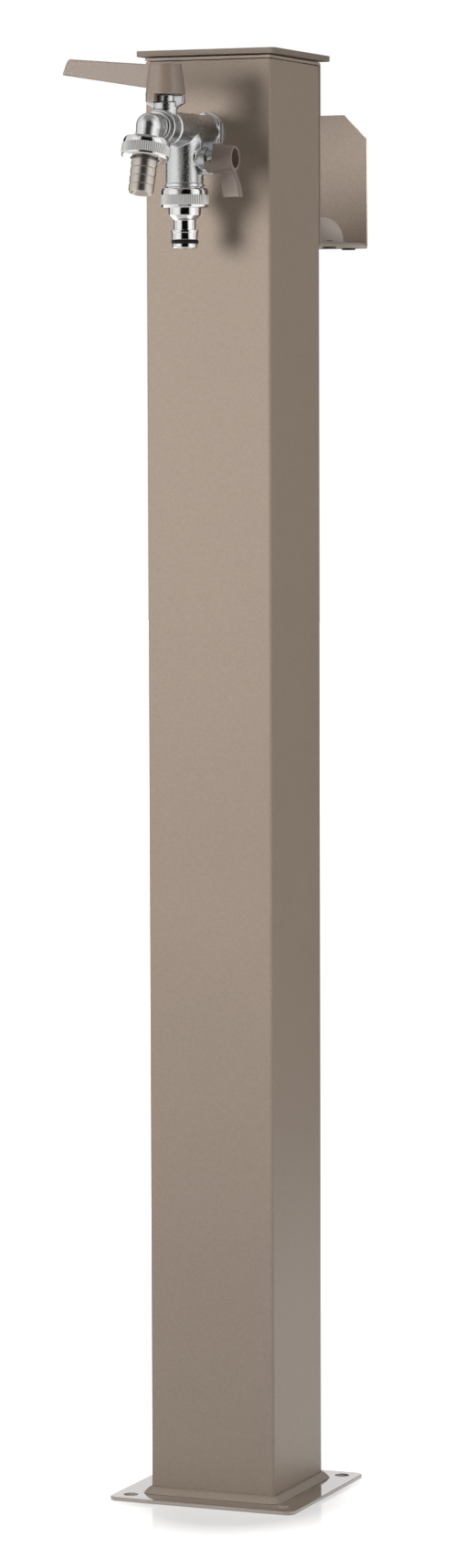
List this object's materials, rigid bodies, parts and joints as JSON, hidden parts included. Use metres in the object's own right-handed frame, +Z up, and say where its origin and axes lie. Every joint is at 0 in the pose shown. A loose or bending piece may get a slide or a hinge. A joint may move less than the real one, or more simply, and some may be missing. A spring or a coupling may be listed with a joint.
{
  "type": "garden tap column",
  "caption": "Square metal garden water column with a lever ball valve spout, a valved quick connect outlet and a hose trough at the back.",
  "frame": {"origin": "centre of the anchor holes, on the underside of the anchor plate", "axes": "+X to the right along the front face, +Y to the back where the hose hanger is, +Z up along the column; the tap points to -Y"},
  "size_m": [0.1329, 0.2828, 0.925],
  "materials": {
    "taupe_paint": "satin powder coat",
    "saddle_paint": "satin powder coat",
    "black_rivet": "satin",
    "zinc_steel": "zinc plated",
    "plated_tap": "satin chrome on brass",
    "plated_nut": "satin chrome on brass",
    "nickel_tail": "nickel plated brass",
    "valve_ball": "polished",
    "plain_brass": "machined",
    "copper_pipe": "drawn copper",
    "black_rubber": "matte",
    "white_ptfe": "matte"
  },
  "bodies": {
    "column": {"base_plate": "taupe_paint", "foot_skirt": "taupe_paint", "post": "taupe_paint", "top_bracket": "zinc_steel", "lid": "taupe_paint", "lid_washers": "black_rubber", "lid_nuts": "zinc_steel", "hose_hanger": "taupe_paint", "hose_saddle": "saddle_paint", "saddle_rivets": "black_rivet", "hanger_screws": "zinc_steel", "hanger_nuts": "zinc_steel", "wall_washer": "plated_tap", "tap_body": "plated_tap", "inner_washer": "black_rubber", "back_nut": "plain_brass", "inlet_elbow": "plain_brass", "riser_pipe": "copper_pipe", "inlet_coupling": "plain_brass", "riser_bracket": "zinc_steel", "spout": "plated_tap", "spout_washer": "black_rubber", "hose_tail": "nickel_tail", "branch_outlet": "plated_tap", "coupling_washer": "black_rubber", "quick_nipple": "plated_tap", "nipple_o_ring": "black_rubber", "main_seats": "white_ptfe", "side_seats": "white_ptfe"},
    "spout_valve": {"main_lever": "taupe_paint", "main_lever_screw": "zinc_steel", "main_stem": "plain_brass", "main_ball": "valve_ball", "main_stem_seals": "black_rubber"},
    "coupling_valve": {"side_handle": "taupe_paint", "side_handle_screw": "zinc_steel", "side_stem": "plain_brass", "side_ball": "valve_ball", "side_stem_seals": "black_rubber"},
    "spout_union": {"spout_nut": "plated_nut"},
    "coupling_union": {"coupling_nut": "plated_nut"}
  },
  "joints": [
    {"name": "spout_valve_turn", "type": "hinge", "parent": "column", "child": "spout_valve", "pos_m": [0, -0.109, 0.873], "axis": [0, 0, 1], "range_deg": [0, 90]},
    {"name": "coupling_valve_turn", "type": "hinge", "parent": "column", "child": "coupling_valve", "pos_m": [0.02, -0.0795, 0.855], "axis": [-1, 0, 0], "range_deg": [0, 90]},
    {"name": "spout_union_spin", "type": "hinge", "parent": "column", "child": "spout_union", "pos_m": [-0.00049, -0.13875, 0.85823], "axis": [0.0322, 0.2334, 0.9718], "continuous": true},
    {"name": "coupling_union_spin", "type": "hinge", "parent": "column", "child": "coupling_union", "pos_m": [0, -0.0795, 0.8307], "axis": [0, 0, 1], "continuous": true}
  ]
}
